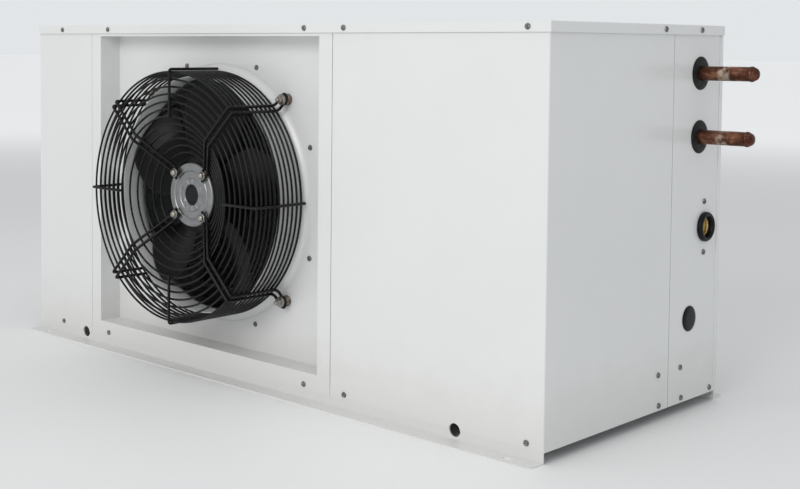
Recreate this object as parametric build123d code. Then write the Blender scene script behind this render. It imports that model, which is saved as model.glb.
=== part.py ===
"""Housed refrigeration condensing unit: white sheet casing, recessed axial fan, hermetic compressor.

Frame: millimetres, +X to the right seen from the fan side, +Y towards the coil side, +Z up.
The origin is on the floor, in the middle of the four fixing slots of the base rails.
"""
import math
import os

from build123d import *

# ---------------------------------------------------------------- driving dimensions
CASE_W = 1195.0            # casing width, over the end panels
CASE_D = 480.0             # casing depth, over the front and rear panels
CASE_H = 600.0             # floor to the top of the lid
SHEET = 1.2                # casing sheet
FIT = 0.3                  # gap between pieces that must not touch

RAIL_T = 2.0               # base rail sheet
RAIL_FOOT = 30.0           # how far a rail's foot stands out of the casing
RAIL_H = 30.0              # rail web height, which carries the base pan
RAIL_SHELF = 32.0          # width of the rail's inner top flange
FOOT_ROUND = 10.0          # rounded end corners of the foot
SLOT_W = 9.0               # fixing slot width
SLOT_L = 16.0              # fixing slot length
SLOT_END = 48.0            # slot centre from the rail's end
LIFT_D = 20.0              # lifting hole
LIFT_Z = 15.5              # lifting hole height
LIFT_END = 152.0           # lifting hole from the casing's end

PAN_T = 1.5                # base pan sheet
PAN_LIP = 12.0             # height of the pan's upturned edge
PANEL_BOTTOM = 16.0        # lower edge of every casing panel
PANEL_FOLD = 12.0          # inward return of the panels
LID_SKIRT = 15.0           # lid edge height
LID_GAP = 1.5              # lid skirt stands proud of the panels

END_PANEL_W = 172.0        # narrow plain front panel
FAN_PANEL_W = 624.0        # front panel with the recess
SIDE_SPLIT = 329.0         # depth of the service panel's side leg
SEAM = 1.4                 # gap between neighbouring panels

RECESS_L = 27.0            # recess from the fan panel's left edge
RECESS_W = 569.0
RECESS_TOP = 580.0
RECESS_BOTTOM = 44.0
RECESS_DEPTH = 44.0

FAN_X = 488.0              # fan axis from the casing's left end
FAN_Z = 308.5
MOUTH_R = 224.0            # bell mouth at the fan plate
THROAT_R = 202.0           # throat of the nozzle
NOZZLE_FRONT = 12.0        # the nozzle's lip stands this far in front of the casing
NOZZLE_T = 1.5
NOZZLE_FLANGE_R = 250.0
FIX_R = 237.0              # circle of the nozzle screws and the guard studs
TIP_R = 197.0              # blade tip
BLADES = 5
ROTOR_R = 66.0             # external rotor can
ROTOR_L = 74.0
STATOR_R = 55.0            # stator flange
STATOR_T = 9.0
STATOR_PCD = 102.0
AXLE_R = 10.0               # fixed axle of the external-rotor motor
BORE_FIT = 0.05            # radial running clearance of the rotor and the valve spindle
MOTOR_FACE = 24.0          # stator flange face in front of the casing

RIM_R = 211.0              # guard rim
RIM_OUT = 71.0             # guard front in front of the casing
CONE_R = 136.0             # radius where the guard's inner cone meets its flat front
INNER_R = 66.0             # no ring is smaller than this
RING_WIRE = 3.6
ARM_WIRE = 5.0
WELD_GAP = 0.25            # gap left between wires that are welded where they cross
RING_PITCH = 12.5
SIDE_RINGS = 10
SIDE_PITCH = 9.9
ARM_GAP = 12.0             # between the two wires of one arm
SPACER_WIRE = 5.0

STUD_D = 6.0
BUSH_D = 19.0
BUSH_T = 10.0

COIL_D = 66.0              # condenser coil depth
COIL_FROM_BACK = 10.0
COIL_H = 530.0
COIL_LEFT = 30.0           # coil from the casing's left end
COIL_END = 782.0           # right end of the coil
FIN_GROOVE = 12.0
TUBE_ROWS = 3
TUBE_PITCH = 44.0
TUBE_D = 9.5

DIVIDER_X = 800.0          # wall between the fan and the machine section

STUB_D = 22.2
STUB_Y = 410.0             # both pipe stubs, from the casing's front
SUCTION_Z = 525.7
LIQUID_Z = 427.0
SUCTION_OUT = 95.0
LIQUID_OUT = 90.0
GROMMET_D = 52.0
GROMMET_HOLE = 44.0
GROMMET_OUT = 3.5
STUB_WALL = 1.1

GLASS_Y = 432.0
GLASS_Z = 284.6
GLASS_D = 47.0
GLASS_HOLE = 38.0
GLASS_SCREW = 40.0
PLUG_Y = 389.0
PLUG_Z = 144.6
PLUG_D = 40.0
PLUG_HOLE = 32.0

SCREW_D = 9.0              # panel screw head
SCREW_H = 2.6
SCREW_SHANK = 4.0

COMP_X = 985.0             # compressor centre
COMP_Y = 205.0
COMP_R = 84.0
COMP_H = 268.0
COMP_Z = 50.0              # underside of the shell
RECEIVER_R = 50.0
RECEIVER_L = 250.0
RECEIVER_X = 880.0
RECEIVER_Y = 400.0

# ---------------------------------------------------------------- derived places
X0 = -CASE_W / 2
Y0 = -CASE_D / 2
X1 = CASE_W / 2
Y1 = CASE_D / 2
FRONT_IN = Y0 + SHEET                  # inner face of the front panels
BACK_IN = Y1 - SHEET
LEFT_IN = X0 + SHEET
RIGHT_IN = X1 - SHEET
LID_TOP = CASE_H
PANEL_TOP = CASE_H - SHEET - FIT
PAN_Z = RAIL_H + PAN_T                 # upper face of the base pan
FAN_PANEL_X = X0 + END_PANEL_W
FAN_PANEL_END = FAN_PANEL_X + FAN_PANEL_W
PLATE_Y = Y0 + RECESS_DEPTH            # front face of the fan plate
PLATE_BACK = PLATE_Y + SHEET
FX = X0 + FAN_X
RIM_Y = Y0 - RIM_OUT
MOTOR_Y = Y0 - MOTOR_FACE              # front face of the stator flange
ROTOR_Y = MOTOR_Y + STATOR_T + 2.0     # front of the rotor can
DIV_X = X0 + DIVIDER_X
PIPE_Y = Y0 + STUB_Y
SPLIT_Y = Y0 + SIDE_SPLIT


# ---------------------------------------------------------------- helpers
def block(x0, x1, y0, y1, z0, z1):
    """Box between two corners."""
    return Pos((x0 + x1) / 2, (y0 + y1) / 2, (z0 + z1) / 2) * Box(x1 - x0, y1 - y0, z1 - z0)


def rod_x(x0, x1, y, z, r):
    return Pos((x0 + x1) / 2, y, z) * Rot(0, 90, 0) * Cylinder(r, abs(x1 - x0))


def rod_y(x, y0, y1, z, r):
    return Pos(x, (y0 + y1) / 2, z) * Rot(90, 0, 0) * Cylinder(r, abs(y1 - y0))


def rod_z(x, y, z0, z1, r):
    return Pos(x, y, (z0 + z1) / 2) * Cylinder(r, abs(z1 - z0))


def turned_y(points, x, z):
    """Solid turned about a Y axis through (x, z), from (radius, y) points."""
    outline = make_face(Polyline(*[(r, y) for r, y in points], close=True))
    return Pos(x, 0, z) * revolve(outline, Axis.Y)


def turned_z(points, x, y):
    """Solid turned about a Z axis through (x, y), from (radius, z) points."""
    outline = make_face(Polyline(*[(r, 0, z) for r, z in points], close=True))
    return Pos(x, y, 0) * revolve(outline, Axis.Z)


def wire_along(points, radii, wire_d):
    """Round wire or tube bent along points, with a bend radius at each inner point."""
    path = FilletPolyline(*points, radius=radii)
    start = Plane(origin=path @ 0, z_dir=path % 0)
    return sweep(start * Circle(wire_d / 2), path=path)


def around_fan(angle, r, y):
    """Point at a radius and angle about the fan axis."""
    a = math.radians(angle)
    return (FX + r * math.cos(a), y, FAN_Z + r * math.sin(a))


def pan_screw(place, direction):
    """Pan-head screw on a panel: head outside, short shank through the sheet."""
    head = Cylinder(SCREW_D / 2, SCREW_H, align=(Align.CENTER, Align.CENTER, Align.MIN))
    head = fillet(head.edges().group_by(Axis.Z)[-1], SCREW_H * 0.6)
    slot = Pos(0, 0, SCREW_H) * Box(SCREW_D * 0.62, 1.2, 1.6)
    return Plane(origin=place, z_dir=direction) * (head - slot)


# ---------------------------------------------------------------- base
def rail(side):
    """Z-shaped base rail; side is -1 at the front and +1 at the back."""
    web_out = side * (Y1 - SHEET)
    web_in = side * (Y1 - SHEET - RAIL_T)
    foot_edge = side * (Y1 + RAIL_FOOT)
    shelf_edge = side * (Y1 - SHEET - RAIL_SHELF)
    lo, hi = LEFT_IN, RIGHT_IN
    foot = block(lo, hi, min(foot_edge, web_in), max(foot_edge, web_in), 0, RAIL_T)
    corners = foot.edges().filter_by(Axis.Z).sort_by(lambda e: -side * e.center().Y)[:2]
    foot = fillet(corners, FOOT_ROUND)
    web = block(lo, hi, min(web_in, web_out), max(web_in, web_out), 0, RAIL_H)
    shelf = block(lo, hi, min(shelf_edge, web_in), max(shelf_edge, web_in), RAIL_H - RAIL_T, RAIL_H)
    body = foot + web + shelf
    for x in (X0 + SLOT_END, X1 - SLOT_END):
        slot = Pos(x, side * (Y1 + RAIL_FOOT / 2), 0) * extrude(
            SlotOverall(SLOT_L, SLOT_W), RAIL_T * 2, both=True)
        body -= slot
    for x in (X0 + LIFT_END, X1 - LIFT_END):
        body -= rod_y(x, web_out - RAIL_T * 2, web_out + RAIL_T * 2, LIFT_Z, LIFT_D / 2)
    return body


def base_pan():
    """Base pan: floor on the rails, upturned front and rear edges, skirts down at the ends."""
    y0, y1 = FRONT_IN, BACK_IN
    pan = block(LEFT_IN, RIGHT_IN, y0, y1, RAIL_H, PAN_Z)
    for y in (y0, y1 - PAN_T):
        pan += block(LEFT_IN, RIGHT_IN, y, y + PAN_T, RAIL_H, RAIL_H + PAN_LIP)
    for x in (LEFT_IN, RIGHT_IN - PAN_T):
        pan += block(x, x + PAN_T, y0 + RAIL_SHELF + FIT, y1 - RAIL_SHELF - FIT, PANEL_BOTTOM, RAIL_H)
    for x in (-400.0, -110.0):
        pan += block(x - 60, x + 60, -90, -70, PAN_Z, PAN_Z + 4)
    pan -= rod_z(FX, Y1 - 130, RAIL_H - 2, PAN_Z + 2, 9.0)
    return pan


# ---------------------------------------------------------------- casing
def lid():
    """Lid: flat top with a skirt on all four sides."""
    out = SHEET + LID_GAP
    top = block(X0 - out, X1 + out, Y0 - out, Y1 + out, LID_TOP - LID_SKIRT, LID_TOP)
    top = fillet(top.edges().filter_by(Axis.Z), 2.2)
    upper = top.faces().sort_by(Axis.Z)[-1]
    top = fillet(upper.edges(), 1.0)
    inside = block(X0 - LID_GAP, X1 + LID_GAP, Y0 - LID_GAP, Y1 + LID_GAP,
                   LID_TOP - LID_SKIRT - 1, LID_TOP - SHEET)
    return top - inside


def panel_notch(x, side=-1):
    """Half-round notch in a panel's lower edge, over a lifting hole."""
    return rod_y(x, side * (Y1 + 5), side * (Y1 - PANEL_FOLD), LIFT_Z, LIFT_D / 2)


def left_front_panel():
    """Narrow plain front panel, with an inward return at its free edge."""
    x0, x1 = X0, FAN_PANEL_X - SEAM
    body = block(x0, x1, Y0, FRONT_IN, PANEL_BOTTOM, PANEL_TOP)
    body += block(x1 - SHEET, x1, Y0, Y0 + PANEL_FOLD, RAIL_H + PAN_LIP + FIT, PANEL_TOP)
    body = fillet(body.edges().filter_by(Axis.Z).group_by(Axis.X)[-1].sort_by(Axis.Y)[0:1], 1.0)
    return body - panel_notch(X0 + LIFT_END)


def fan_panel():
    """Front panel with the recess for the fan, closed at the back by the fan plate."""
    x0, x1 = FAN_PANEL_X, FAN_PANEL_END
    rx0 = x0 + RECESS_L
    rx1 = rx0 + RECESS_W
    body = block(x0, x1, Y0, FRONT_IN, PANEL_BOTTOM, PANEL_TOP)
    tray = block(rx0 - SHEET, rx1 + SHEET, Y0, PLATE_BACK, RECESS_BOTTOM - SHEET, RECESS_TOP + SHEET)
    body += tray
    body -= block(rx0, rx1, Y0 - 1, PLATE_Y, RECESS_BOTTOM, RECESS_TOP)
    body -= rod_y(FX, PLATE_Y - 1, PLATE_BACK + 1, FAN_Z, MOUTH_R + FIT)
    body -= block(rx0 - SHEET - 1, rx1 + SHEET + 1, FRONT_IN, FRONT_IN + PAN_T + FIT,
                  RAIL_H, RECESS_BOTTOM - SHEET)
    body += block(x1 - SHEET, x1, Y0, Y0 + PANEL_FOLD, RAIL_H + PAN_LIP + FIT, PANEL_TOP)
    return body


def service_panel():
    """Wrap-around cover of the machine section: right front and front part of the right end."""
    x0 = FAN_PANEL_END + SEAM
    outer = block(x0, X1, Y0, SPLIT_Y - SEAM / 2, PANEL_BOTTOM, PANEL_TOP)
    outer = fillet(outer.edges().filter_by(Axis.Z).sort_by(lambda e: e.center().X - e.center().Y)[-1], 2.4)
    inner = block(x0 - 1, RIGHT_IN, FRONT_IN, SPLIT_Y, PANEL_BOTTOM - 1, PANEL_TOP + 1)
    body = outer - inner
    low = RAIL_H + PAN_LIP + FIT
    body += block(x0, x0 + SHEET, Y0, Y0 + PANEL_FOLD, low, PANEL_TOP)
    return body - panel_notch(X1 - LIFT_END)


def pipe_panel():
    """Rear part of the right end, with the pipe, sight glass and cable openings."""
    y0 = SPLIT_Y + SEAM / 2
    body = block(RIGHT_IN, X1, y0, Y1 - SHEET - FIT, PANEL_BOTTOM, PANEL_TOP)
    body += block(X1 - 22, X1, Y1 - SHEET - FIT - SHEET, Y1 - SHEET - FIT, RAIL_H + PAN_LIP + FIT, PANEL_TOP)
    body += block(X1 - PANEL_FOLD, X1, y0, y0 + SHEET, RAIL_H + PAN_LIP + FIT, PANEL_TOP)
    holes = [(PIPE_Y, SUCTION_Z, GROMMET_HOLE), (PIPE_Y, LIQUID_Z, GROMMET_HOLE),
             (Y0 + GLASS_Y, GLASS_Z, GLASS_HOLE), (Y0 + PLUG_Y, PLUG_Z, PLUG_HOLE)]
    for y, z, d in holes:
        body -= rod_x(X1 - SHEET - 5, X1 + 5, y, z, d / 2)
    return body


def left_end_panel():
    """Plain left end, standing a little proud of the frame, with a folded lower edge."""
    body = block(X0, LEFT_IN, FRONT_IN, BACK_IN, PANEL_BOTTOM, PANEL_TOP)
    return body


def rear_panel():
    """Louvred rear cover of the machine section."""
    x0 = DIV_X + SHEET + FIT
    body = block(x0, X1, BACK_IN, Y1, PANEL_BOTTOM, PANEL_TOP)
    slot_len = 250.0
    mid = (x0 + X1) / 2
    for i in range(9):
        z = 330.0 + i * 22.0
        hood = rod_x(mid - slot_len / 2, mid + slot_len / 2, Y1, z, 6.0)
        hood &= block(mid - slot_len, mid + slot_len, Y1, Y1 + 8, z - 8, z + 8)
        body += hood
        body -= block(mid - slot_len / 2 + 3, mid + slot_len / 2 - 3, BACK_IN - 1, Y1 + 4.4, z - 6.1, z + 2.6)
    return body - panel_notch(X1 - LIFT_END, 1)


def rear_frame():
    """Open frame round the coil at the back of the fan section."""
    body = block(X0, DIV_X, BACK_IN, Y1, PANEL_BOTTOM, PANEL_TOP)
    body -= block(X0 + COIL_LEFT + 6, X0 + COIL_END - 14, BACK_IN - 1, Y1 + 1,
                  RAIL_H + PAN_LIP + 4, RAIL_H + PAN_LIP + COIL_H - 16)
    return body - panel_notch(X0 + LIFT_END, 1)


def divider():
    """Wall between the fan section and the machine section."""
    return block(DIV_X, DIV_X + SHEET, FRONT_IN + PANEL_FOLD + 2, BACK_IN - PAN_T - FIT, PAN_Z, PANEL_TOP - 1)


# ---------------------------------------------------------------- fan
def fan_nozzle():
    """Nozzle drawn forward through the fan plate, with its flange behind the plate."""
    bend = MOUTH_R - THROAT_R
    back = PLATE_BACK + NOZZLE_T
    lip = Y0 - NOZZLE_FRONT
    steps = 6
    turns = [math.radians(90 + 90 * i / steps) for i in range(steps + 1)]
    inner = [(MOUTH_R + bend * math.cos(a), back - bend + bend * math.sin(a)) for a in turns]
    thin = bend - NOZZLE_T
    outer = [(MOUTH_R + thin * math.cos(a), back - bend + thin * math.sin(a)) for a in reversed(turns)]
    ends = [(THROAT_R, lip), (THROAT_R + NOZZLE_T, lip)]
    return turned_y([(NOZZLE_FLANGE_R, back)] + inner + ends + outer + [(NOZZLE_FLANGE_R, PLATE_BACK)], FX, FAN_Z)


def fan_stator():
    """Stator flange with a recessed middle, four screw bosses and the motor's fixed axle."""
    y = MOTOR_Y
    r = STATOR_R
    back = y + STATOR_T
    profile = [(0, y + 4), (17.5, y + 4), (17.5, y + 1.5), (28, y + 1.5), (31, y), (39, y), (41, y + 1.5),
               (43, y), (r - 1.5, y), (r, y + 1.5), (r, back), (AXLE_R, back), (AXLE_R, back + 40), (0, back + 40)]
    flange = turned_y(profile, FX, FAN_Z)
    for i in range(4):
        x, _, z = around_fan(45 + 90 * i, STATOR_PCD / 2, 0)
        flange += rod_y(x, y - 1, back, z, 8.0)
    return flange


def fan_cap():
    """Rubber plug in the middle of the stator flange."""
    return turned_y([(0, MOTOR_Y + 2), (17, MOTOR_Y + 2), (17, MOTOR_Y + 4), (0, MOTOR_Y + 4)], FX, FAN_Z)


def blade_section(r, pitch, chord, lean, thick):
    """Cambered blade section at radius r, on a plane square to the radius."""
    half = chord / 2
    camber = chord * 0.09
    top = ThreePointArc((-half, 0), (0, camber + thick / 2), (half, 0))
    low = ThreePointArc((half, 0), (0, camber - thick / 2), (-half, 0))
    face = make_face([top, low])
    spot = Plane(origin=(r, 0, 0), x_dir=(0, 1, 0), z_dir=(1, 0, 0))
    return Rot(0, 0, lean) * (spot * (Rot(0, 0, pitch) * face))


def fan_rotor():
    """External rotor can with five twisted sickle blades, turning about the fan axis."""
    y0, y1 = ROTOR_Y, ROTOR_Y + ROTOR_L
    r = ROTOR_R
    bore = AXLE_R + BORE_FIT
    can = turned_y([(bore, y0), (r - 6, y0), (r, y0 + 6), (r, y1 - 8), (r - 8, y1), (0, y1),
                    (0, y1 - 20), (bore, y1 - 20)], FX, FAN_Z)
    mid = y1 - 34
    stations = [(ROTOR_R - 6, 34, 84, 0), (105, 30, 104, 4), (152, 26, 126, 0), (TIP_R - 1, 23, 146, -10)]
    sections = [blade_section(sr, pitch, chord, lean, 3.4) for sr, pitch, chord, lean in stations]
    blade = loft(sections)
    swept = None
    for i in range(BLADES):
        one = Rot(0, 0, 360 / BLADES * i + 12) * blade
        swept = one if swept is None else swept + one
    swept &= Cylinder(TIP_R, 200)
    swept = Pos(FX, mid, FAN_Z) * Rot(90, 0, 0) * swept
    return can + (swept - rod_y(FX, y0 - 40, y1 + 60, FAN_Z, r - 2))


WIRE_LIFT = (ARM_WIRE + RING_WIRE) / 2 + WELD_GAP      # arm wire's middle to ring wire's middle
FLANGE_ARM_Y = MOTOR_Y - 1 - ARM_WIRE / 2 - WELD_GAP  # arm wires on the stator flange
FRONT_RING_Y = RIM_Y + RING_WIRE
CONE_START = STATOR_PCD / 2 + 10
CONE_SLOPE = (FLANGE_ARM_Y - FRONT_RING_Y + WIRE_LIFT) / (CONE_R - CONE_START)


def guard_face_y(r):
    """Y of the front rings' middle at radius r: flat outside, a cone towards the motor inside."""
    if r >= CONE_R:
        return FRONT_RING_Y
    square_lift = WIRE_LIFT * math.hypot(1, CONE_SLOPE)
    return FRONT_RING_Y - WIRE_LIFT + CONE_SLOPE * (CONE_R - r) + square_lift


def guard_ring(r, y, wire):
    """One ring of the guard, with a diamond section."""
    h = wire / 2
    return turned_y([(r - h, y), (r, y - h), (r + h, y), (r, y + h)], FX, FAN_Z)


def guard_rings():
    """Concentric front rings and the stacked rings of the guard's side."""
    rings = []
    r = RIM_R
    while r > INNER_R:
        rings.append(guard_ring(r, guard_face_y(r), RING_WIRE))
        r -= RING_PITCH
    for i in range(1, SIDE_RINGS + 1):
        rings.append(guard_ring(RIM_R, RIM_Y + RING_WIRE + i * SIDE_PITCH, RING_WIRE))
    return Compound(children=rings)


def guard_arm(angle):
    """One arm: two parallel wires from the stator screw out over the rim, joined round the stud."""
    a = math.radians(angle)
    ux, uz = math.cos(a), math.sin(a)
    px, pz = -uz, ux
    gap = ARM_GAP / 2

    def point(r, y, off):
        return (FX + r * ux + off * px, y, FAN_Z + r * uz + off * pz)

    side_r = RIM_R + WIRE_LIFT
    front_y = FRONT_RING_Y - WIRE_LIFT
    loop_y = PLATE_Y - BUSH_T - ARM_WIRE / 2 - WELD_GAP
    route = [(STATOR_PCD / 2 - 8, FLANGE_ARM_Y, gap * 0.92),
             (CONE_START, FLANGE_ARM_Y, gap * 0.92),
             (CONE_R, front_y, gap),
             (side_r, front_y, gap),
             (side_r, loop_y, gap),
             (FIX_R + gap + 4, loop_y, gap)]
    there = [point(r, y, off) for r, y, off in route]
    back = [point(r, y, -off) for r, y, off in reversed(route)]
    corner = WIRE_LIFT + 0.1
    radii = [6, 9, corner, 8, gap - 0.2, gap - 0.2, 8, corner, 9, 6]
    return wire_along(there + back, radii, ARM_WIRE)


def guard_arms():
    """Four arms, one to each stud."""
    return Compound(children=[guard_arm(45 + 90 * i) for i in range(4)])


def guard_spacers():
    """Four short radial wires that hold the outer rings between the arms."""
    wires = []
    lift = (SPACER_WIRE + RING_WIRE) / 2 + WELD_GAP
    in_r = RIM_R - 6 * RING_PITCH
    for i in range(4):
        a = 90 * i
        pts = [around_fan(a, in_r, guard_face_y(in_r) - lift), around_fan(a, RIM_R + lift, RIM_Y + RING_WIRE - lift),
               around_fan(a, RIM_R + lift, RIM_Y + RING_WIRE * 2 + SIDE_RINGS * SIDE_PITCH)]
        wires.append(wire_along(pts, lift + 0.1, SPACER_WIRE))
    return Compound(children=wires)


def guard_studs():
    """Four studs with washer and nut that carry the guard and the motor."""
    parts = []
    for i in range(4):
        x, _, z = around_fan(45 + 90 * i, FIX_R, 0)
        tip = PLATE_Y - BUSH_T - ARM_WIRE - 16
        stud = rod_y(x, tip, PLATE_Y, z, STUD_D / 2)
        washer = rod_y(x, PLATE_Y - BUSH_T - ARM_WIRE - 0.4, PLATE_Y - BUSH_T - ARM_WIRE - 2.4, z, 9.0)
        nut = Pos(x, PLATE_Y - BUSH_T - ARM_WIRE - 5.4, z) * Rot(90, 0, 0) * extrude(
            RegularPolygon(5.8, 6), 3.0, both=True)
        parts.append(stud + washer + nut)
    return Compound(children=parts)


def guard_bushes():
    """Rubber bushes between the fan plate and the guard's loops."""
    parts = []
    for i in range(4):
        x, _, z = around_fan(45 + 90 * i, FIX_R, 0)
        bush = rod_y(x, PLATE_Y - BUSH_T, PLATE_Y, z, BUSH_D / 2)
        parts.append(bush - rod_y(x, PLATE_Y - BUSH_T - 1, PLATE_Y + 1, z, STUD_D / 2))
    return Compound(children=parts)


def stator_screws():
    """Four domed screws that clamp the arms on the stator flange."""
    parts = []
    seat = MOTOR_Y - 1
    front = seat - ARM_WIRE - 2 * WELD_GAP
    for i in range(4):
        x, _, z = around_fan(45 + 90 * i, STATOR_PCD / 2, 0)
        head = turned_y([(0, front - 7), (3, front - 6.4), (5.4, front - 4), (6.6, front), (0, front)], x, z)
        parts.append(head + rod_y(x, front, seat, z, 2.6))
    return Compound(children=parts)


# ---------------------------------------------------------------- coil
def coil_block():
    """Fin pack of the condenser, grooved where the fins run."""
    x0, x1 = X0 + COIL_LEFT + 4, X0 + COIL_END - 4
    y1 = BACK_IN - COIL_FROM_BACK
    z0 = PAN_Z + 12
    body = block(x0, x1, y1 - COIL_D, y1, z0, z0 + COIL_H - 20)
    count = int((x1 - x0) / (FIN_GROOVE * 2)) - 1
    for i in range(count):
        x = x0 + FIN_GROOVE * (1 + 2 * i) + FIN_GROOVE / 2
        body -= block(x, x + FIN_GROOVE / 2, y1 - 4, y1 + 1, z0 + 6, z0 + COIL_H - 26)
    return body


def coil_plates():
    """Two tube plates, standing on the base pan, at the ends of the fin pack."""
    y1 = BACK_IN - COIL_FROM_BACK + 4
    z0 = PAN_Z
    parts = []
    for x in (X0 + COIL_LEFT + 2, X0 + COIL_END - 4):
        parts.append(block(x, x + 2, y1 - COIL_D - 8, y1, z0, z0 + COIL_H + 8))
    return Compound(children=parts)


def coil_bends():
    """Return bends of the coil tubes, outside the right tube plate."""
    parts = []
    x = X0 + COIL_END - 2
    y_mid = BACK_IN - COIL_FROM_BACK - COIL_D / 2
    rows = int((COIL_H - 40) / TUBE_PITCH)
    for row in range(rows):
        z = PAN_Z + 36 + row * TUBE_PITCH
        pts = [(x, y_mid - 15, z), (x + 11, y_mid - 15, z), (x + 11, y_mid + 15, z + 12), (x, y_mid + 15, z + 12)]
        parts.append(wire_along(pts, 7.5, TUBE_D))
    return Compound(children=parts)


# ---------------------------------------------------------------- machine section
CX, CY = X0 + COMP_X, Y0 + COMP_Y
RX, RY = X0 + RECEIVER_X, Y0 + RECEIVER_Y
FOOT_Z = COMP_Z - 6.0


def compressor_shell():
    """Hermetic compressor: deep drawn shell with a domed top and a weld seam."""
    r, z, h = COMP_R, COMP_Z, COMP_H
    pts = [(0, z), (r - 22, z), (r - 6, z + 10), (r, z + 28), (r, z + h * 0.55), (r + 5, z + h * 0.55),
           (r + 5, z + h * 0.59), (r, z + h * 0.59), (r, z + h - 46), (r - 10, z + h - 22), (r - 30, z + h - 6),
           (0, z + h)]
    return turned_z(pts, CX, CY)


def compressor_feet():
    """Two pressed bars under the shell, with a hole over each rubber mount."""
    parts = []
    for sy in (-1, 1):
        bar = block(CX - 105, CX + 105, CY + sy * 62 - 20, CY + sy * 62 + 20, FOOT_Z, FOOT_Z + 4)
        for sx in (-1, 1):
            bar -= rod_z(CX + sx * 88, CY + sy * 62, FOOT_Z - 1, FOOT_Z + 5, 6.0)
        bar += block(CX - 40, CX + 40, CY + sy * 50 - 3, CY + sy * 50 + 3, FOOT_Z + 4, COMP_Z + 2)
        parts.append(bar)
    return Compound(children=parts) - compressor_shell()


def compressor_mounts():
    """Rubber mounts under the compressor bars."""
    parts = []
    for sx in (-1, 1):
        for sy in (-1, 1):
            parts.append(rod_z(CX + sx * 88, CY + sy * 62, PAN_Z, FOOT_Z, 13.0))
    return Compound(children=parts)


def compressor_bolts():
    """Bolts through the compressor mounts."""
    parts = []
    for sx in (-1, 1):
        for sy in (-1, 1):
            x, y = CX + sx * 88, CY + sy * 62
            parts.append(rod_z(x, y, FOOT_Z + 4, FOOT_Z + 10, 9.0))
    return Compound(children=parts)


def terminal_box():
    """Terminal cover on the compressor's side."""
    body = block(CX - 34, CX + 34, CY - COMP_R - 34, CY - COMP_R * 0.8, COMP_Z + 70, COMP_Z + 140)
    body = fillet(body.edges().filter_by(Axis.Y), 5.0)
    return body - compressor_shell()


def receiver():
    """Upright liquid receiver with domed ends and a foot ring."""
    r, z = RECEIVER_R, PAN_Z + 14
    pts = [(0, z), (r - 20, z), (r, z + 16), (r, z + RECEIVER_L - 16), (r - 20, z + RECEIVER_L), (0, z + RECEIVER_L)]
    body = turned_z(pts, RX, RY)
    foot = turned_z([(r - 14, PAN_Z), (r - 8, PAN_Z), (r - 8, z + 12), (r - 14, z + 8)], RX, RY)
    return body + foot


VALVE_Z = PAN_Z + 14 + RECEIVER_L


def receiver_valve():
    """Shut-off valve on the receiver: brass body with a side outlet and a bored neck."""
    z = VALVE_Z
    body = rod_z(RX, RY, z, z + 34, 10.0)
    body += block(RX - 12, RX + 12, RY - 12, RY + 12, z + 6, z + 26)
    body -= rod_z(RX, RY, z + 18, z + 35, 5.0)
    return body


def receiver_valve_stem():
    """Valve spindle with a square end, turning in the neck."""
    z = VALVE_Z
    stem = rod_z(RX, RY, z + 18.2, z + 40, 5.0 - BORE_FIT)
    return stem + block(RX - 3.2, RX + 3.2, RY - 3.2, RY + 3.2, z + 40, z + 48)


def filter_drier():
    """Filter drier in the liquid line, lying along the machine section's rear."""
    x0, x1 = X0 + 985.0, X0 + 1105.0
    y, z, r = PIPE_Y, LIQUID_Z, 24.0
    pts = [(0, x0), (8, x0), (r, x0 + 20), (r, x1 - 20), (8, x1), (0, x1)]
    outline = make_face(Polyline(*[(x, rr) for rr, x in pts], close=True))
    return Pos(0, y, z) * revolve(outline, Axis.X)


def pipe_stub(z, out, inner_x):
    """Copper stub from inside the casing to its closed, domed end."""
    r = STUB_D / 2
    tip = X1 + out
    sleeve_x = X1 + GROMMET_OUT + 0.5
    outline = [(inner_x, 0), (inner_x, r - 0.2), (sleeve_x, r - 0.2), (sleeve_x, r), (tip - 7, r),
               (tip - 3, r - 3.2), (tip - 1, r - 6.5), (tip, r - 9.5), (tip, 0)]
    return Pos(0, PIPE_Y, z) * revolve(make_face(Polyline(*outline, close=True)), Axis.X)


def suction_stub():
    """Suction connection, sealed with a domed end."""
    return pipe_stub(SUCTION_Z, SUCTION_OUT, X1 - 70)


def liquid_stub():
    """Liquid connection, sealed with a domed end."""
    return pipe_stub(LIQUID_Z, LIQUID_OUT, X0 + 1105.0)


def grommet(z):
    """Rubber grommet clipped in the pipe panel round a stub."""
    ro, rh, ri = GROMMET_D / 2, GROMMET_HOLE / 2, STUB_D / 2
    pts = [(X1, rh + 0.0), (X1, ro), (X1 + 1.2, ro), (X1 + GROMMET_OUT, ri + 6), (X1 + GROMMET_OUT, ri),
           (X1 - SHEET - 3, ri), (X1 - SHEET - 3, rh)]
    return Pos(0, PIPE_Y, z) * revolve(make_face(Polyline(*pts, close=True)), Axis.X)


def grommets():
    """The two pipe grommets."""
    return Compound(children=[grommet(SUCTION_Z), grommet(LIQUID_Z)])


def suction_pipe():
    """Suction line from its stub down to the compressor."""
    z = SUCTION_Z
    x0 = X1 - 70
    pts = [(x0, PIPE_Y, z), (X0 + 1060, PIPE_Y, z), (X0 + 1060, CY, z), (CX, CY, z), (CX, CY, COMP_Z + COMP_H)]
    return wire_along(pts, [30, 30, 30], STUB_D - 4)


def discharge_pipe():
    """Discharge line from the compressor through the divider to the coil."""
    z = COMP_Z + COMP_H * 0.75
    x = CX - COMP_R
    y_mid = BACK_IN - COIL_FROM_BACK - COIL_D / 2 - 20
    pts = [(x - 0.1, CY, z), (x - 50, CY, z), (x - 50, CY, z + 180), (x - 50, y_mid, z + 180),
           (DIV_X + SHEET + 1, y_mid, z + 180)]
    return wire_along(pts, [18, 18, 14], 9.5)


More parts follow.
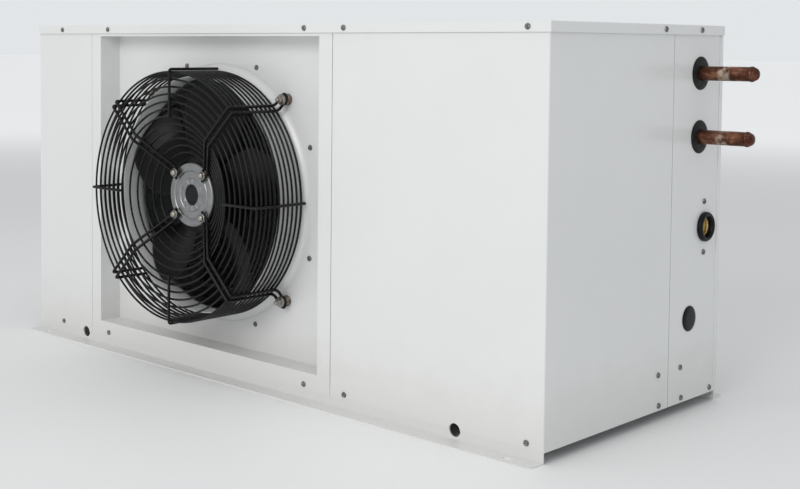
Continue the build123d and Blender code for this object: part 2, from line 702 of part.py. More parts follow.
def liquid_pipe():
    """Liquid line from the receiver valve to the filter drier."""
    z = VALVE_Z + 16
    pts = [(RX + 12, RY, z), (RX + 50, RY, z), (RX + 50, RY, LIQUID_Z), (X0 + 985.0, PIPE_Y, LIQUID_Z)]
    pts = [pts[0], pts[1], (RX + 50, RY, LIQUID_Z), (X0 + 985.0, RY, LIQUID_Z)]
    return wire_along(pts, [16, 16], 9.5)


def sight_glass():
    """Moisture indicator: brass body behind the panel with a black bezel outside."""
    y, z = Y0 + GLASS_Y, GLASS_Z
    ro = GLASS_D / 2
    pts = [(X1, 15.0), (X1, ro), (X1 + 5, ro), (X1 + 8, ro - 3), (X1 + 8, ro - 7), (X1 + 2, 15.0)]
    return Pos(0, y, z) * revolve(make_face(Polyline(*pts, close=True)), Axis.X)


def sight_glass_body():
    """Brass body and glass of the moisture indicator."""
    y, z = Y0 + GLASS_Y, GLASS_Z
    return rod_x(X1 - 26, X1 + 0.5, y, z, 14.5)


def cable_plug():
    """Black blanking plug of the cable entry."""
    y, z = Y0 + PLUG_Y, PLUG_Z
    ro, rh = PLUG_D / 2, PLUG_HOLE / 2
    pts = [(X1 - SHEET - 4, 0), (X1 - SHEET - 4, rh), (X1, rh), (X1, ro), (X1 + 1.6, ro), (X1 + 3, ro - 3),
           (X1 + 3.4, 0)]
    return Pos(0, y, z) * revolve(make_face(Polyline(*pts, close=True)), Axis.X)


def control_box():
    """Electrical box on the divider."""
    x0 = DIV_X + SHEET
    return block(x0, x0 + 80, Y0 + 30, Y0 + 190, 330, 560)


def pressure_switch():
    """Dual pressure switch on the control box."""
    x0 = DIV_X + SHEET + 80
    body = block(x0, x0 + 42, Y0 + 70, Y0 + 170, 400, 480)
    return body + rod_z(x0 + 21, Y0 + 100, 385, 400, 9.0)


# ---------------------------------------------------------------- screws
def front_screws():
    """Pan-head screws along the panels' lower edges at the front."""
    parts = []
    z = PANEL_BOTTOM + 8.5
    for x in (79.0, 224.0, 739.0, 827.0, 1167.0):
        parts.append(pan_screw((X0 + x, Y0, z), (0, -1, 0)))
    return Compound(children=parts)


def lid_screws():
    """Pan-head screws in the lid's skirt."""
    parts = []
    z = LID_TOP - LID_SKIRT / 2
    out = SHEET + LID_GAP
    for x in (80.0, 225.0, 737.0, 822.0, 1161.0):
        parts.append(pan_screw((X0 + x, Y0 - out, z), (0, -1, 0)))
        parts.append(pan_screw((X0 + x, Y1 + out, z), (0, 1, 0)))
    for y in (298.0, 407.0):
        parts.append(pan_screw((X1 + out, Y0 + y, z), (1, 0, 0)))
        parts.append(pan_screw((X0 - out, Y0 + y, z), (-1, 0, 0)))
    return Compound(children=parts)


def end_screws():
    """Screws of the right end: lower edge, inner bracket and round the sight glass."""
    places = [(302.0, 24.0), (369.0, 24.0), (459.0, 24.0), (299.0, 71.0), (365.0, 72.0)]
    places += [(GLASS_Y - 2, GLASS_Z + GLASS_SCREW), (GLASS_Y - 2, GLASS_Z - GLASS_SCREW)]
    parts = [pan_screw((X1, Y0 + y, z), (1, 0, 0)) for y, z in places]
    return Compound(children=parts)


def nozzle_screws():
    """Eight screws that hold the nozzle behind the fan plate."""
    parts = []
    for i in range(8):
        parts.append(pan_screw(around_fan(22.5 + 45 * i, FIX_R, PLATE_Y), (0, -1, 0)))
    return Compound(children=parts)


# ---------------------------------------------------------------- write the sub-parts
NODES = {
    "front_rail": lambda: rail(-1), "rear_rail": lambda: rail(1), "base_pan": base_pan, "lid": lid,
    "left_front_panel": left_front_panel, "fan_panel": fan_panel, "service_panel": service_panel,
    "pipe_panel": pipe_panel, "left_end_panel": left_end_panel, "rear_panel": rear_panel,
    "rear_frame": rear_frame, "divider": divider, "fan_nozzle": fan_nozzle, "fan_stator": fan_stator,
    "fan_cap": fan_cap, "fan_rotor": fan_rotor, "guard_rings": guard_rings, "guard_arms": guard_arms,
    "guard_spacers": guard_spacers, "guard_studs": guard_studs, "guard_bushes": guard_bushes,
    "stator_screws": stator_screws, "coil_block": coil_block, "coil_plates": coil_plates,
    "coil_bends": coil_bends, "compressor_shell": compressor_shell, "compressor_feet": compressor_feet,
    "compressor_mounts": compressor_mounts, "compressor_bolts": compressor_bolts,
    "terminal_box": terminal_box, "receiver": receiver, "receiver_valve": receiver_valve,
    "receiver_valve_stem": receiver_valve_stem, "filter_drier": filter_drier,
    "suction_stub": suction_stub, "liquid_stub": liquid_stub, "grommets": grommets,
    "suction_pipe": suction_pipe, "discharge_pipe": discharge_pipe, "liquid_pipe": liquid_pipe,
    "sight_glass_bezel": sight_glass, "sight_glass_body": sight_glass_body, "cable_plug": cable_plug,
    "control_box": control_box, "pressure_switch": pressure_switch, "front_screws": front_screws,
    "lid_screws": lid_screws, "end_screws": end_screws, "nozzle_screws": nozzle_screws,
}

os.makedirs("parts", exist_ok=True)
for name, make in NODES.items():
    export_step(make(), f"parts/{name}.step")
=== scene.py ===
# %% [markdown]
# # Housed condensing unit
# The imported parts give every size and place. This script adds what a buyer would see: round
# welded wire, turned and cast surfaces, powder coat, copper patina, rubber and bare fins.
# The row frame is used as it is: metres, +X to the right seen from the fan side, +Z up.

import math

import bmesh
import bpy
import numpy as np
from mathutils import Matrix, Vector


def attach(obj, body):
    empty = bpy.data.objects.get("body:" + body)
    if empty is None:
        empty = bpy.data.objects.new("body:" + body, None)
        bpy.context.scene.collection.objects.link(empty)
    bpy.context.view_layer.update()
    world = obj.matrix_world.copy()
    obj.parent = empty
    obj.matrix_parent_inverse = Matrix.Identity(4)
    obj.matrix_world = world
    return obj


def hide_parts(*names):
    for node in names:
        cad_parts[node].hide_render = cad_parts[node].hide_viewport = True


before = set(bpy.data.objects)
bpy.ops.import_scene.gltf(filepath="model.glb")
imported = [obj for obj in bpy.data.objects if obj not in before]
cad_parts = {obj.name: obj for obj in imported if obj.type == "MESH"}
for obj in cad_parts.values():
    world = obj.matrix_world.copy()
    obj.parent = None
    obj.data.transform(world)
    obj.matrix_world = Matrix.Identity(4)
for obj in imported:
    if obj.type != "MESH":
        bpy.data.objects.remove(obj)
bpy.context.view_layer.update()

# %% [markdown]
# The camera could sit square to the front, but the unit is known by its fan side and its pipe end
# together, so it looks from the front right corner, a little above the lid's height.
# Its axes are built from yaw, pitch and roll, because the three numbers can be read and changed.

# %% Camera
YAW, PITCH, ROLL = math.radians(-45.27), math.radians(-2.85), math.radians(0.36)
forward = Vector((math.sin(YAW) * math.cos(PITCH), math.cos(YAW) * math.cos(PITCH), math.sin(PITCH)))
right = forward.cross(Vector((0, 0, 1))).normalized()
up = right.cross(forward)
cam_right = right * math.cos(ROLL) + up * math.sin(ROLL)
cam_up = up * math.cos(ROLL) - right * math.sin(ROLL)
camera = bpy.data.objects.new("camera", bpy.data.cameras.new("camera"))
bpy.context.scene.collection.objects.link(camera)
turn = Matrix((cam_right, cam_up, -forward)).transposed().to_4x4()
camera.matrix_world = Matrix.Translation((1.5895, -1.705, 0.5634)) @ turn
camera.data.sensor_width = 36.0
camera.data.lens = 58.68
camera.data.shift_x = 0.1352
camera.data.shift_y = -0.1665
camera.data.clip_start = 0.05
camera.data.dof.use_dof = False
bpy.context.scene.camera = camera
print("camera", [round(v, 3) for v in camera.location])

# %% [markdown]
# Every new surface is a grid of points, worked out by a formula of two parameters, because a grid
# gives even faces and clean closed seams. Three makers cover the whole unit: any grid, a profile
# turned about an axis, and a round tube along a bent path.

# %% Surface makers
MM = 0.001


def new_piece(name, points, faces, smooth=True):
    """Mesh object from an array of points in millimetres and an array of quads or a list of faces."""
    mesh = bpy.data.meshes.new(name)
    mesh.from_pydata((np.asarray(points, float) * MM).reshape(-1, 3).tolist(), [], [list(f) for f in faces])
    mesh.polygons.foreach_set("use_smooth", np.full(len(mesh.polygons), smooth))
    mesh.update()
    piece = bpy.data.objects.new(name, mesh)
    bpy.context.scene.collection.objects.link(piece)
    return piece


def grid_faces(rows, cols, wrap_rows, wrap_cols):
    """Quads of a rows by cols grid of points, closed along either direction if asked."""
    i = np.arange(rows if wrap_rows else rows - 1)[:, None]
    j = np.arange(cols if wrap_cols else cols - 1)[None, :]
    i2, j2 = (i + 1) % rows, (j + 1) % cols
    quads = [i * cols + j, i * cols + j2, i2 * cols + j2, i2 * cols + j]
    return np.stack([np.broadcast_to(q, (i.shape[0], j.shape[1])) for q in quads], -1).reshape(-1, 4)


def many(points, wrap_rows, wrap_cols):
    """Points (copies, rows, cols, 3) to one vertex list and one face list."""
    copies, rows, cols, _ = points.shape
    one = grid_faces(rows, cols, wrap_rows, wrap_cols)
    offset = (np.arange(copies) * rows * cols)[:, None, None]
    return points.reshape(-1, 3), (one[None] + offset).reshape(-1, 4)


def facing_out(piece):
    """Turns all faces so that they point out of each closed shell."""
    work = bmesh.new()
    work.from_mesh(piece.data)
    bmesh.ops.remove_doubles(work, verts=work.verts, dist=1e-7)
    bmesh.ops.recalc_face_normals(work, faces=work.faces)
    work.to_mesh(piece.data)
    work.free()
    return piece


def turned(name, profile, places, direction, sides=96):
    """Profile (radius, height) turned about lines through places, along direction.

    point = place + radius * (cos t * u + sin t * v) + height * direction, for t from 0 to 2 pi.
    """
    w = np.asarray(direction, float)
    u = np.cross(w, (0, 0, 1.0)) if abs(w[2]) < 0.9 else np.array((1.0, 0, 0))
    u = u / np.linalg.norm(u)
    v = np.cross(w, u)
    r, h = np.asarray(profile, float).T
    t = np.linspace(0, 2 * np.pi, sides, endpoint=False)
    ring = np.cos(t)[:, None] * u + np.sin(t)[:, None] * v
    shape = r[:, None, None] * ring[None] + h[:, None, None] * w
    points = np.asarray(places, float)[:, None, None, :] + shape[None]
    return facing_out(new_piece(name, *many(points, False, True)))


def soft_profile(corners, radius, steps=5):
    """Corner list with each inner corner replaced by a small quadratic curve."""
    c = np.asarray(corners, float)
    out = [c[:1]]
    for a, b, d in zip(c[:-2], c[1:-1], c[2:]):
        la, ld = np.linalg.norm(a - b), np.linalg.norm(d - b)
        ka, kd = min(radius, la * 0.45) / max(la, 1e-9), min(radius, ld * 0.45) / max(ld, 1e-9)
        p, q = b + (a - b) * ka, b + (d - b) * kd
        s = np.linspace(0, 1, steps)[:, None]
        out.append((1 - s) ** 2 * p + 2 * s * (1 - s) * b + s ** 2 * q)
    out.append(c[-1:])
    return np.concatenate(out)


def bent_path(corners, radii, steps=9):
    """Corners joined by straight lines, each inner one rounded by an arc of the given radius."""
    c = np.asarray(corners, float)
    out = [c[:1]]
    for a, b, d, radius in zip(c[:-2], c[1:-1], c[2:], radii):
        ua, ud = (a - b) / np.linalg.norm(a - b), (d - b) / np.linalg.norm(d - b)
        half = math.acos(np.clip(ua @ ud, -1, 1)) / 2
        reach = radius / math.tan(half)
        mid = (ua + ud) / np.linalg.norm(ua + ud)
        centre = b + mid * radius / math.sin(half)
        start, end = b + ua * reach - centre, b + ud * reach - centre
        full = math.pi - 2 * half
        s = np.linspace(0, 1, steps)[:, None] * full
        out.append(centre + (np.sin(full - s) * start + np.sin(s) * end) / math.sin(full))
    out.append(c[-1:])
    return np.concatenate(out)


def tube_points(path, radius, across, sides=12):
    """Circle of the given radius swept along the path, with rounded ends.

    point = path(s) + radius * (cos t * n + sin t * b), n being across made square to the tangent.
    """
    tangent = np.gradient(path, axis=0)
    tangent /= np.linalg.norm(tangent, axis=1, keepdims=True)
    n = across - (tangent @ across)[:, None] * tangent
    n /= np.linalg.norm(n, axis=1, keepdims=True)
    b = np.cross(tangent, n)
    turn_end = np.radians([0, 25, 50, 75, 90])
    ring_count = len(turn_end)
    cap = np.cos(turn_end)[::-1]
    push = np.sin(turn_end)[::-1]
    centre = np.concatenate([path[:1] - push[:, None] * radius * tangent[:1], path[1:-1],
                             path[-1:] + push[::-1, None] * radius * tangent[-1:]])
    scale = np.concatenate([cap, np.ones(len(path) - 2), cap[::-1]]) * radius
    n, b = [np.concatenate([np.repeat(v[:1], ring_count, 0), v[1:-1], np.repeat(v[-1:], ring_count, 0)])
            for v in (n, b)]
    t = np.linspace(0, 2 * np.pi, sides, endpoint=False)
    around = np.cos(t)[None, :, None] * n[:, None] + np.sin(t)[None, :, None] * b[:, None]
    return centre[:, None] + scale[:, None, None] * around


def tubes(name, paths, radius, across, sides=12):
    """One mesh of several tubes whose paths have the same number of points."""
    points = np.stack([tube_points(p, radius, a, sides) for p, a in zip(paths, across)])
    return facing_out(new_piece(name, *many(points, False, True)))


# %% [markdown]
# Shader maths reads best as formulas, so a small class wraps a socket and gives it the usual
# operators. One method makes any node; the rest of the script only writes expressions.

# %% Shader maths
class Val:
    """A socket or number in one material's node tree, with + - * and a few helpers."""

    def __init__(self, tree, value):
        self.tree, self.value = tree, value

    def node(self, kind, output=0, settings=None, **inputs):
        """Adds a node of that kind; inputs are given by position as i0, i1 or by name."""
        made = self.tree.nodes.new(kind)
        for key, value in (settings or {}).items():
            setattr(made, key, value)
        for key, value in inputs.items():
            socket = made.inputs[int(key[1:])] if key[0] == "i" and key[1:].isdigit() else made.inputs[key]
            self.put(socket, value)
        return Val(self.tree, made.outputs[output])

    def put(self, socket, value):
        """Connects or sets one input."""
        value = value.value if isinstance(value, Val) else value
        if isinstance(value, bpy.types.NodeSocket):
            self.tree.links.new(value, socket)
        else:
            socket.default_value = value

    def math(self, kind, other=0.0, third=0.0):
        return self.node("ShaderNodeMath", settings={"operation": kind}, i0=self, i1=other, i2=third)

    def __add__(self, other): return self.math("ADD", other)
    def __radd__(self, other): return self.math("ADD", other)
    def __sub__(self, other): return self.math("SUBTRACT", other)
    def __rsub__(self, other): return self.num(other).math("SUBTRACT", self)
    def __mul__(self, other): return self.math("MULTIPLY", other)
    def __rmul__(self, other): return self.math("MULTIPLY", other)

    def num(self, number):
        """A plain number as a value."""
        return Val(self.tree, number)

    def step(self, low, high):
        """0 below low, 1 above high, smooth between."""
        return self.node("ShaderNodeMapRange", settings={"interpolation_type": "SMOOTHSTEP"},
                         i0=self, i1=low, i2=high, i3=0.0, i4=1.0)

    def mix(self, first, second):
        """Colour from first to second as this goes from 0 to 1."""
        made = self.tree.nodes.new("ShaderNodeMix")
        made.data_type = "RGBA"
        self.put(made.inputs[0], self)
        self.put(made.inputs[6], first)
        self.put(made.inputs[7], second)
        return Val(self.tree, made.outputs[2])

    def noise(self, scale, detail=3.0, rough=0.5, stretch=(1, 1, 1)):
        """Noise of this position; stretch scales the position along each axis first."""
        place = self.node("ShaderNodeMapping", i0=self, i3=stretch)
        return self.node("ShaderNodeTexNoise", Vector=place, Scale=scale, Detail=detail, Roughness=rough)

    def cells(self, scale, output=0, feature="F1"):
        """Cells round scattered points; output 1 gives each cell its own colour."""
        return self.node("ShaderNodeTexVoronoi", output=output, settings={"feature": feature},
                         Vector=self, Scale=scale)

    def axis(self, index):
        """One coordinate of this position."""
        return self.node("ShaderNodeSeparateXYZ", output=index, i0=self)


def colour(r, g, b):
    """Opaque colour."""
    return (r, g, b, 1.0)


def material(name, build, **fixed):
    """Principled material; build gets the object position and returns its varying inputs."""
    made = bpy.data.materials.new(name)
    made.use_nodes = True
    tree = made.node_tree
    shader = tree.nodes["Principled BSDF"]
    for key, value in fixed.items():
        shader.inputs[key.replace("_", " ")].default_value = value
    where = Val(tree, tree.nodes.new("ShaderNodeTexCoord").outputs["Object"])
    varying = build(where)
    height = varying.pop("height", None)
    for key, value in varying.items():
        where.put(shader.inputs[key.replace("_", " ")], value)
    if height is not None:
        bump = where.node("ShaderNodeBump", Strength=1.0, Distance=1.0, Height=height)
        where.put(shader.inputs["Normal"], bump)
    return made


# %% [markdown]
# Powder coat could be one flat white, but a real coat has a fine orange peel, thin dull patches
# where it was wiped, faint rubs, and a little dust near the floor. Heights are in metres.

# %% White powder coat
def powder_coat(p):
    """Height = orange peel + long waves of the sheet; colour drifts a little and greys near the floor."""
    peel = p.noise(620.0, 2.0, 0.5)
    wave = p.noise(7.0, 1.0, 0.4)
    patch = p.noise(5.0, 5.0, 0.6)
    rub = p.noise(26.0, 4.0, 0.65, (1.0, 1.0, 7.0)).step(0.63, 0.74)
    speck = p.noise(420.0, 2.0, 0.5).step(0.735, 0.78)
    dust = (0.10 - p.axis(2) + p.noise(30.0, 4.0) * 0.08).step(0.0, 0.12)
    clean = patch.mix(colour(0.80, 0.81, 0.81), colour(0.845, 0.85, 0.845))
    dusty = (dust * 0.30).mix(clean, colour(0.62, 0.60, 0.55))
    base = (speck * 0.5).mix(dusty, colour(0.45, 0.43, 0.40))
    return {"Base_Color": base, "Roughness": 0.26 + patch * 0.10 + rub * 0.10 + dust * 0.15,
            "Coat_Weight": 0.25 - dust * 0.15, "height": peel * 0.000035 + wave * 0.0005}


white_coat = material("white_powder_coat", powder_coat, Coat_Roughness=0.12, IOR=1.5)

# %% Metals
def zinc(p):
    """Bright zinc: cloudy tone, a faint yellow passivation and fine drawn lines."""
    cloud = p.noise(240.0, 4.0, 0.6)
    tint = p.noise(90.0, 3.0, 0.5).step(0.45, 0.65)
    base = tint.mix(colour(0.50, 0.49, 0.47), colour(0.50, 0.45, 0.36))
    return {"Base_Color": (cloud * 0.5).mix(base, colour(0.22, 0.215, 0.20)),
            "Roughness": 0.22 + cloud * 0.25, "height": p.noise(2200.0, 2.0) * 0.00003}


zinc_steel = material("zinc_plated_steel", zinc, Metallic=1.0)


def dull_zinc(p):
    """Screw heads after painting: dull grey zinc, clouded with darker patches."""
    cloud = p.noise(330.0, 4.0, 0.65)
    return {"Base_Color": cloud.step(0.35, 0.65).mix(colour(0.11, 0.105, 0.095), colour(0.36, 0.35, 0.33)),
            "Roughness": 0.30 + cloud * 0.25, "height": p.noise(2000.0, 2.0) * 0.00003}


screw_zinc = material("dull_zinc_screws", dull_zinc, Metallic=1.0)


def galvanised(p):
    """Spangled zinc sheet: each crystal has its own tone and gloss."""
    crystal = p.cells(70.0, output=1).axis(0)
    return {"Base_Color": crystal.mix(colour(0.50, 0.52, 0.53), colour(0.66, 0.68, 0.69)),
            "Roughness": 0.30 + crystal * 0.2, "height": p.noise(300.0, 3.0) * 0.00005}


galvanised_sheet = material("galvanised_sheet", galvanised, Metallic=1.0)


def cast(p):
    """Machined die casting: bright turned face with dull pores and finger marks."""
    pore = p.noise(900.0, 3.0, 0.6)
    mark = p.noise(60.0, 4.0, 0.6)
    base = mark.mix(colour(0.22, 0.225, 0.23), colour(0.44, 0.445, 0.45))
    return {"Base_Color": (pore.step(0.6, 0.75) * 0.5).mix(base, colour(0.22, 0.22, 0.22)),
            "Roughness": 0.28 + mark * 0.22, "height": pore * 0.00012 + p.noise(160.0, 3.0) * 0.0002}


cast_aluminium = material("cast_aluminium", cast, Metallic=1.0)


def old_copper(p):
    """Handled copper: brown oxide clouds over warm metal, pale flux at mid length, a sooty closed end.

    The patches are bands along X: flux from 0.628 to 0.646 m, soot from 0.655 m outward.
    """
    cloud = p.noise(48.0, 5.0, 0.65, (0.6, 1.0, 1.0))
    fine = p.noise(260.0, 4.0, 0.6)
    dark = cloud.step(0.36, 0.60)
    along = p.axis(0)
    soot = (along - 0.655).step(0.0, 0.020)
    flux = (along - 0.628).step(0.0, 0.006) * (1.0 - (along - 0.646).step(0.0, 0.006))
    flux = flux * p.noise(95.0, 3.0, 0.5).step(0.40, 0.62)
    base = dark.mix(colour(0.43, 0.20, 0.12), colour(0.10, 0.042, 0.028))
    base = (soot * 0.7).mix(base, colour(0.07, 0.026, 0.020))
    return {"Base_Color": (flux * 0.75).mix(base, colour(0.62, 0.52, 0.42)),
            "Roughness": 0.24 + dark * 0.22 - soot * 0.12 + fine * 0.10,
            "height": fine * 0.00006 + cloud * 0.0003}


copper = material("handled_copper", old_copper, Metallic=1.0)


def brass_body(p):
    """Turned brass: tone and gloss follow one fine grain."""
    grain = p.noise(500.0, 3.0)
    return {"Base_Color": grain.mix(colour(0.55, 0.40, 0.16), colour(0.80, 0.62, 0.30)),
            "Roughness": 0.25 + grain * 0.2, "height": grain * 0.00004}


brass = material("turned_brass", brass_body, Metallic=1.0)


def fin_sheet(p):
    """Thin bright fins with a few dull ones and dust in the waves."""
    plate = p.noise(120.0, 2.0, 0.5, (8.0, 0.4, 0.4))
    return {"Base_Color": plate.mix(colour(0.36, 0.38, 0.40), colour(0.66, 0.68, 0.70)),
            "Roughness": 0.35 + plate * 0.25, "height": p.noise(700.0, 2.0) * 0.00006}


fins = material("bare_fins", fin_sheet, Metallic=0.9)


def passivated(p):
    """Yellow passivated zinc, gone brown: dark bronze with brighter rubbed patches."""
    rub = p.noise(180.0, 4.0, 0.6)
    return {"Base_Color": rub.step(0.35, 0.7).mix(colour(0.12, 0.095, 0.075), colour(0.38, 0.33, 0.27)),
            "Roughness": 0.28 + rub * 0.2, "height": p.noise(1500.0, 2.0) * 0.00003}


bronze_zinc = material("passivated_zinc", passivated, Metallic=1.0)

# %% Blacks
def wire_coat(p):
    """Black dipped coating: deep gloss with drips, tiny pimples and thin dust on top."""
    drip = p.noise(110.0, 3.0, 0.55)
    dust = p.noise(38.0, 5.0, 0.6).step(0.50, 0.72)
    return {"Base_Color": (dust * 0.30).mix(colour(0.004, 0.004, 0.0045), colour(0.022, 0.020, 0.018)),
            "Roughness": 0.26 + drip * 0.16 + dust * 0.12, "Coat_Weight": 0.12 - dust * 0.08,
            "height": drip * 0.00025 + p.noise(900.0, 2.0) * 0.00003}


wire_black = material("black_wire_coating", wire_coat, Coat_Roughness=0.1, Specular_IOR_Level=0.22)


def satin_black(p):
    """Black paint on the rotor and vessels: fine texture, light dust on the blades."""
    dust = p.noise(22.0, 5.0, 0.6).step(0.45, 0.75)
    return {"Base_Color": (dust * 0.4).mix(colour(0.004, 0.004, 0.0045), colour(0.018, 0.016, 0.015)),
            "Roughness": 0.34 + dust * 0.2,
            "height": p.noise(1100.0, 2.0) * 0.00004 + p.noise(90.0) * 0.0001}


paint_black = material("black_satin_paint", satin_black, Specular_IOR_Level=0.22)


def rubber_skin(p):
    """Moulded rubber: near black with a grey bloom that also dulls it."""
    bloom = p.noise(140.0, 5.0, 0.65).step(0.4, 0.75)
    return {"Base_Color": (bloom * 0.6).mix(colour(0.005, 0.005, 0.005), colour(0.025, 0.024, 0.022)),
            "Roughness": 0.5 + bloom * 0.25, "height": p.noise(1400.0, 3.0) * 0.00006}


rubber = material("moulded_rubber", rubber_skin, Specular_IOR_Level=0.3)


def moulded(p):
    """Black moulding: fine grain, paler and duller where it is worn."""
    grain = p.noise(1600.0, 2.0)
    wear = p.noise(70.0, 4.0).step(0.5, 0.8)
    return {"Base_Color": (wear * 0.4).mix(colour(0.006, 0.006, 0.0065), colour(0.03, 0.03, 0.03)),
            "Roughness": 0.32 + wear * 0.2, "height": grain * 0.00004}


plastic_black = material("black_moulding", moulded, Specular_IOR_Level=0.2)


def indicator_disc(p):
    """Printed disc behind the glass: yellow green ink with a fine grain."""
    print_grain = p.noise(900.0, 3.0)
    return {"Base_Color": print_grain.mix(colour(0.30, 0.28, 0.05), colour(0.50, 0.46, 0.08)),
            "Roughness": 0.25 + print_grain * 0.1, "height": print_grain * 0.00002}


indicator_green = material("indicator_disc", indicator_disc)


def grey_case(p):
    """Grey moulding: slow drift in tone and a fine grain."""
    grain = p.noise(1300.0, 2.0)
    return {"Base_Color": p.noise(20.0).mix(colour(0.42, 0.43, 0.44), colour(0.5, 0.51, 0.52)),
            "Roughness": 0.45 + grain * 0.1, "height": grain * 0.00003}


plastic_grey = material("grey_moulding", grey_case)

# %% [markdown]
# The casing keeps its packed sheet metal. Folded edges are never sharp, so each sheet gets a small
# bevel, which also catches the light along every bend.

# %% Casing sheets
def paint(names, finish, bevel=0.0):
    """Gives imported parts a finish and, if asked, a bevel of that many millimetres."""
    for name in names:
        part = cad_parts[name]
        part.data.materials.clear()
        part.data.materials.append(finish)
        if bevel:
            edge = part.modifiers.new("fold", "BEVEL")
            edge.width = bevel * MM
            edge.segments = 2
            edge.limit_method = "ANGLE"
            edge.angle_limit = math.radians(40)


paint(["lid", "left_front_panel", "fan_panel", "service_panel", "pipe_panel", "left_end_panel",
       "rear_panel", "rear_frame", "front_rail", "rear_rail", "fan_nozzle"], white_coat, 0.35)
paint(["base_pan", "divider", "coil_plates"], galvanised_sheet)
paint(["compressor_shell", "compressor_feet", "receiver"], paint_black)
paint(["suction_pipe", "discharge_pipe", "liquid_pipe", "filter_drier", "coil_bends"], copper)
paint(["receiver_valve", "receiver_valve_stem", "sight_glass_body"], brass)
paint(["compressor_mounts", "guard_bushes", "fan_cap"], rubber)
paint(["terminal_box"], plastic_black)
paint(["control_box", "pressure_switch"], plastic_grey)
paint(["compressor_bolts", "guard_studs", "stator_screws", "front_screws", "lid_screws", "end_screws",
       "nozzle_screws"], zinc_steel)
paint(["guard_rings", "guard_arms", "guard_spacers"], wire_black)
paint(["fan_rotor", "sight_glass_bezel"], paint_black)
paint(["fan_stator"], cast_aluminium)
paint(["coil_block"], fins)
paint(["suction_stub", "liquid_stub"], copper)
paint(["grommets"], rubber)
paint(["cable_plug"], plastic_black)

# %% [markdown]
# Sizes that the fan parts share, in millimetres. Depths are measured back from the casing's front
# or forward from the recess plate, so the guard, the motor and the nozzle stay in step.

# %% Fan sizes
FX, FZ = -109.5, 308.5
FRONT = -240.0
PLATE = FRONT + 44.0
MOTOR = FRONT - 24.0
RIM_R, RIM_Y = 211.0, FRONT - 71.0
RING_R, ARM_R, SPACER_R = 1.8, 2.5, 2.5
GAP = 0.25
CONE_R, CONE_START = 136.0, 61.0
RING_COUNT, RING_PITCH = 12, 12.5
SIDE_COUNT, SIDE_PITCH = 10, 9.9
FIX_R, SCREW_R = 237.0, 51.0
BUSH = 10.0
fan_centre = np.array((FX, 0.0, FZ))


def spoke(angle):
    """Unit vectors outward and sideways at an angle about the fan's axis."""
    a = math.radians(angle)
    return np.array((math.cos(a), 0, math.sin(a))), np.array((-math.sin(a), 0, math.cos(a)))


LIFT = ARM_R + RING_R + GAP
FLANGE_Y = MOTOR - 1 - ARM_R - GAP
RING_Y = RIM_Y + 2 * RING_R
SLOPE = (FLANGE_Y - RING_Y + LIFT) / (CONE_R - CONE_START)


def face_y(r):
    """Depth of the guard's front rings at radius r: flat outside, a cone towards the motor inside."""
    cone = RING_Y - LIFT + SLOPE * (CONE_R - r) + LIFT * math.hypot(1, SLOPE)
    return np.where(np.asarray(r) >= CONE_R, RING_Y, cone)


# %% [markdown]
# The guard is the unit's most worked piece. Each ring is a torus; all of them are one array, with
# the ring's radius and depth as the outer axis. The wires that cross them are bent tubes.

# %% Guard rings
ring_r = np.concatenate([RIM_R - RING_PITCH * np.arange(RING_COUNT), np.full(SIDE_COUNT, RIM_R)])
ring_y = np.concatenate([face_y(ring_r[:RING_COUNT]), RING_Y + SIDE_PITCH * (1 + np.arange(SIDE_COUNT))])
t = np.linspace(0, 2 * np.pi, 180, endpoint=False)[None, :, None]
s = np.linspace(0, 2 * np.pi, 10, endpoint=False)[None, None, :]
reach = ring_r[:, None, None] + RING_R * np.cos(s)
ring_points = np.stack([FX + reach * np.cos(t), ring_y[:, None, None] + RING_R * np.sin(s) + 0 * t,
                        FZ + reach * np.sin(t)], -1)
guard_rings = facing_out(new_piece("guard_wire_rings", *many(ring_points, True, True)))
guard_rings.data.materials.append(wire_black)
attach(guard_rings, "casing")
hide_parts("guard_rings")
print("guard rings", len(ring_r), "faces", len(guard_rings.data.polygons))

# %% Guard arms and spacers
loop_y = PLATE - BUSH - ARM_R - GAP
# Each place of the route is radius, depth and distance of the wire from the arm's middle line.
arm_route = [(43, FLANGE_Y, 5.52), (CONE_START, FLANGE_Y, 5.52), (CONE_R, RING_Y - LIFT, 6.0),
             (RIM_R + LIFT, RING_Y - LIFT, 6.0), (RIM_R + LIFT, loop_y, 6.0), (FIX_R + 10, loop_y, 6.0)]
arm_paths, arm_across = [], []
for k in range(4):
    out, side = spoke(45 + 90 * k)
    there = [fan_centre + out * r + side * o + np.array((0, y, 0)) for r, y, o in arm_route]
    back = [fan_centre + out * r - side * o + np.array((0, y, 0)) for r, y, o in reversed(arm_route)]
    arm_paths.append(bent_path(there + back, [6, 9, LIFT + 0.1, 8, 5.8, 5.8, 8, LIFT + 0.1, 9, 6]))
    arm_across.append(out * 0.5 + side * 0.62 + np.array((0, 0.6, 0)))
guard_arms = tubes("guard_wire_arms", arm_paths, ARM_R, arm_across, 14)
lift_s = SPACER_R + RING_R + GAP
inner = RIM_R - 6 * RING_PITCH
spacer_route = [(inner, RING_Y - lift_s), (RIM_R + lift_s, RING_Y - lift_s),
                (RIM_R + lift_s, RIM_Y + 4 * RING_R + SIDE_COUNT * SIDE_PITCH)]
spacer_paths = []
for k in range(4):
    out, side = spoke(90 * k)
    corners = [fan_centre + out * r + np.array((0, y, 0)) for r, y in spacer_route]
    spacer_paths.append(bent_path(corners, [lift_s + 0.1]))
spacer_across = [spoke(90 * k)[1] for k in range(4)]
guard_spacers = tubes("guard_wire_spacers", spacer_paths, SPACER_R, spacer_across)
for piece, node in ((guard_arms, "guard_arms"), (guard_spacers, "guard_spacers")):
    piece.data.materials.append(wire_black)
    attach(piece, "casing")
    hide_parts(node)
print("arms", len(guard_arms.data.polygons), "spacers", len(guard_spacers.data.polygons))

